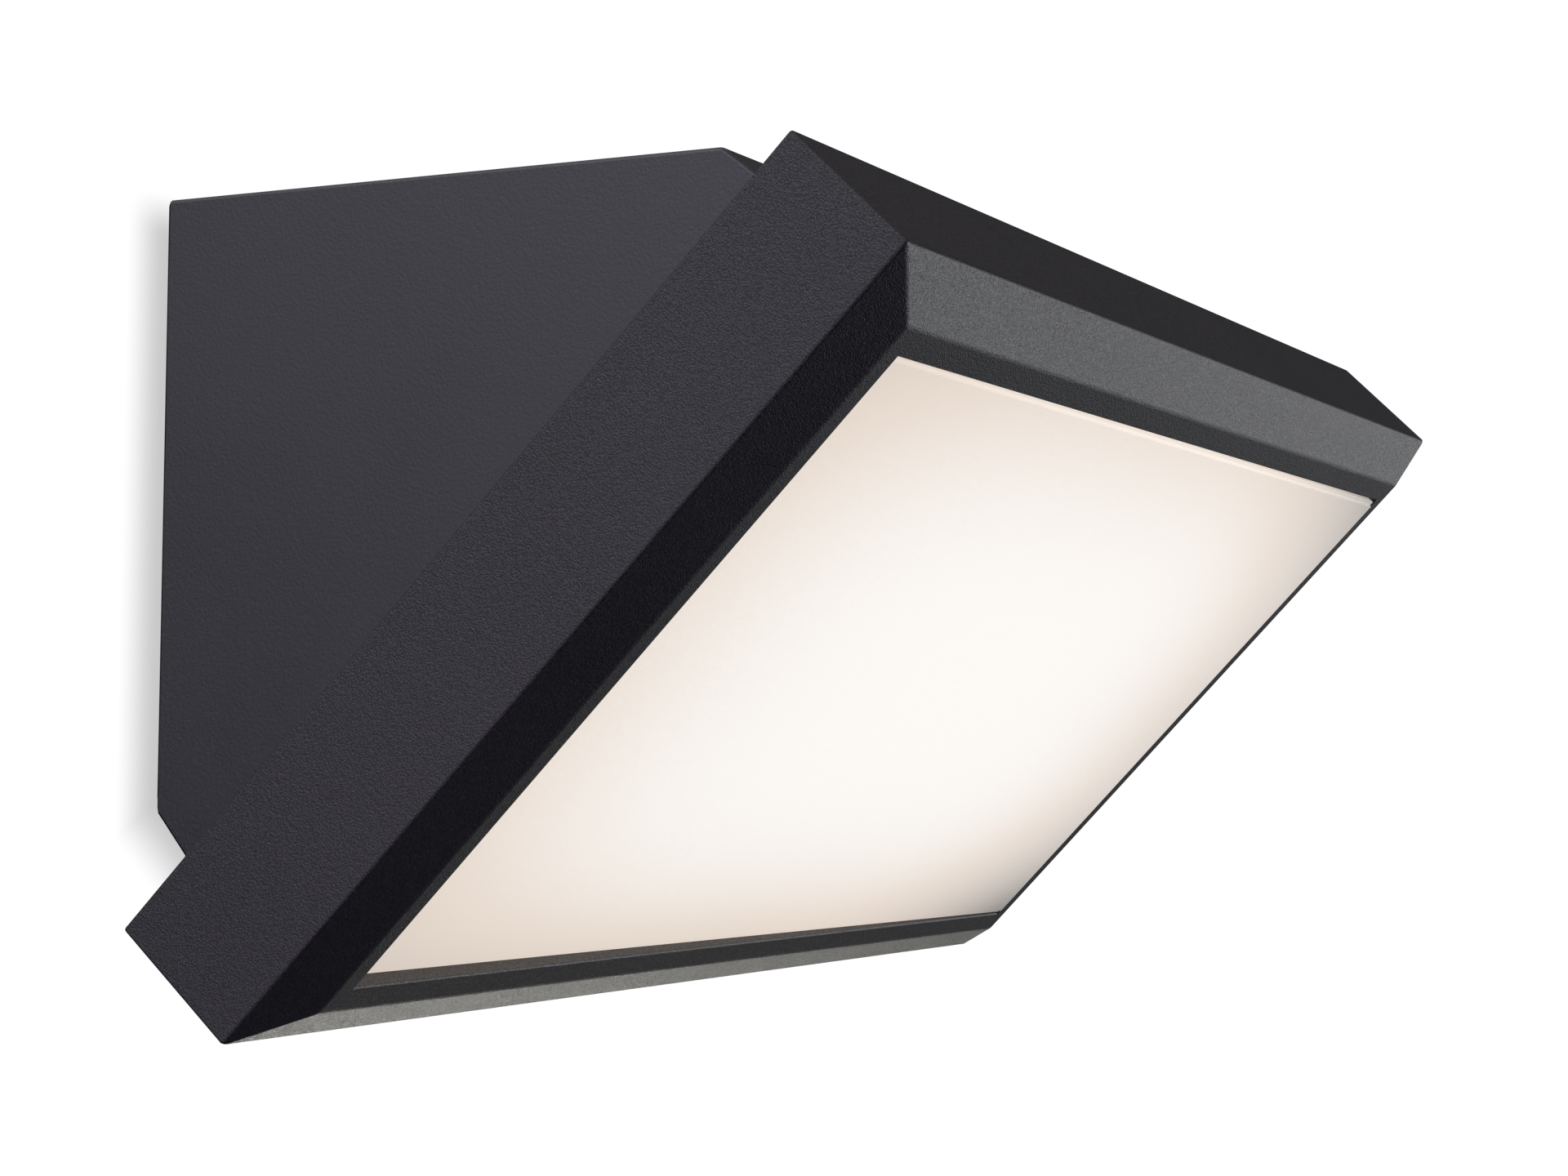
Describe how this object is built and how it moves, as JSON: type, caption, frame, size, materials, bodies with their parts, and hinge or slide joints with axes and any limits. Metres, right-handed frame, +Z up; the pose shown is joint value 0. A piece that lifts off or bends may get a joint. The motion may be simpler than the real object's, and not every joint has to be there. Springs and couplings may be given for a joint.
{
  "type": "outdoor wall light",
  "caption": "Wedge-shaped wall light: a sloping rectangular head with a chamfered frame and an opal diffuser shines forward and down from a hollow wall housing.",
  "frame": {"origin": "on the wall, at the middle of the housing's back, on the wall bracket's back face", "axes": "+Z up, +Y into the wall, the light faces -Y and down, X along the head's long side"},
  "size_m": [0.25, 0.1004, 0.1052],
  "materials": {
    "housing_paint": "smooth satin anthracite powder coat on cast aluminium",
    "head_coating": "fine pebble-grain anthracite powder coat on cast aluminium",
    "opal_diffuser": "satin opal polycarbonate, lit warm white from behind",
    "zinc_steel": "zinc-plated steel sheet",
    "stainless_steel": "stainless steel fasteners",
    "aluminium_sheet": "bare aluminium sheet",
    "black_rubber": "matt black rubber",
    "silicone": "translucent white silicone",
    "white_plastic": "matt white reflector plastic",
    "white_solder_mask": "white solder mask on an aluminium-core board",
    "led_package": "white package with yellow phosphor",
    "driver_plastic": "light grey moulded plastic",
    "circuit_board": "green solder mask on glass-fibre board",
    "transformer_tape": "yellow polyester tape round a ferrite core",
    "black_plastic": "black shrink sleeve",
    "terminal_grey": "grey polyamide",
    "button_orange": "orange polyamide",
    "brown_pvc": "brown PVC insulation",
    "blue_pvc": "blue PVC insulation",
    "green_yellow_pvc": "green and yellow PVC insulation",
    "red_pvc": "red PVC insulation",
    "black_pvc": "black PVC insulation"
  },
  "bodies": {
    "luminaire": {"wedge_housing": "housing_paint", "head_frame": "head_coating", "diffuser": "opal_diffuser", "wall_bracket": "zinc_steel", "earth_lug": "zinc_steel", "plate_screw_1": "stainless_steel", "plate_screw_2": "stainless_steel", "plate_screw_3": "stainless_steel", "plate_screw_4": "stainless_steel", "frame_screw_1": "stainless_steel", "frame_screw_2": "stainless_steel", "frame_screw_3": "stainless_steel", "frame_screw_4": "stainless_steel", "board_screw_1": "stainless_steel", "board_screw_2": "stainless_steel", "board_screw_3": "stainless_steel", "board_screw_4": "stainless_steel", "driver_screw_1": "stainless_steel", "driver_screw_2": "stainless_steel", "terminal_screw": "stainless_steel", "earth_screw": "stainless_steel", "housing_screw_left": "stainless_steel", "housing_screw_right": "stainless_steel", "back_plate": "aluminium_sheet", "wall_seal": "black_rubber", "cable_grommet": "black_rubber", "head_gasket": "black_rubber", "lead_grommet": "black_rubber", "housing_washer_left": "black_rubber", "housing_washer_right": "black_rubber", "diffuser_seal": "silicone", "reflector_tray": "white_plastic", "board_connector": "white_plastic", "led_board": "white_solder_mask", "led_01": "led_package", "led_02": "led_package", "led_03": "led_package", "led_04": "led_package", "led_05": "led_package", "led_06": "led_package", "led_07": "led_package", "led_08": "led_package", "led_09": "led_package", "led_10": "led_package", "led_11": "led_package", "led_12": "led_package", "driver_case": "driver_plastic", "driver_cover": "driver_plastic", "driver_board": "circuit_board", "driver_transformer": "transformer_tape", "driver_capacitor": "black_plastic", "terminal_block": "terminal_grey", "lead_live": "brown_pvc", "lead_neutral": "blue_pvc", "lead_earth": "green_yellow_pvc", "led_lead_positive": "red_pvc", "led_lead_negative": "black_pvc"},
    "release_button_live": {"release_button_live": "button_orange"},
    "release_button_earth": {"release_button_earth": "button_orange"},
    "release_button_neutral": {"release_button_neutral": "button_orange"}
  },
  "joints": [
    {"name": "release_live_press", "type": "slide", "parent": "luminaire", "child": "release_button_live", "axis": [0, 1, 0], "range_m": [0, 0.0015], "stiffness_N_per_m": 800, "springref_m": -0.001},
    {"name": "release_earth_press", "type": "slide", "parent": "luminaire", "child": "release_button_earth", "axis": [0, 1, 0], "range_m": [0, 0.0015], "stiffness_N_per_m": 800, "springref_m": -0.001},
    {"name": "release_neutral_press", "type": "slide", "parent": "luminaire", "child": "release_button_neutral", "axis": [0, 1, 0], "range_m": [0, 0.0015], "stiffness_N_per_m": 800, "springref_m": -0.001}
  ]
}
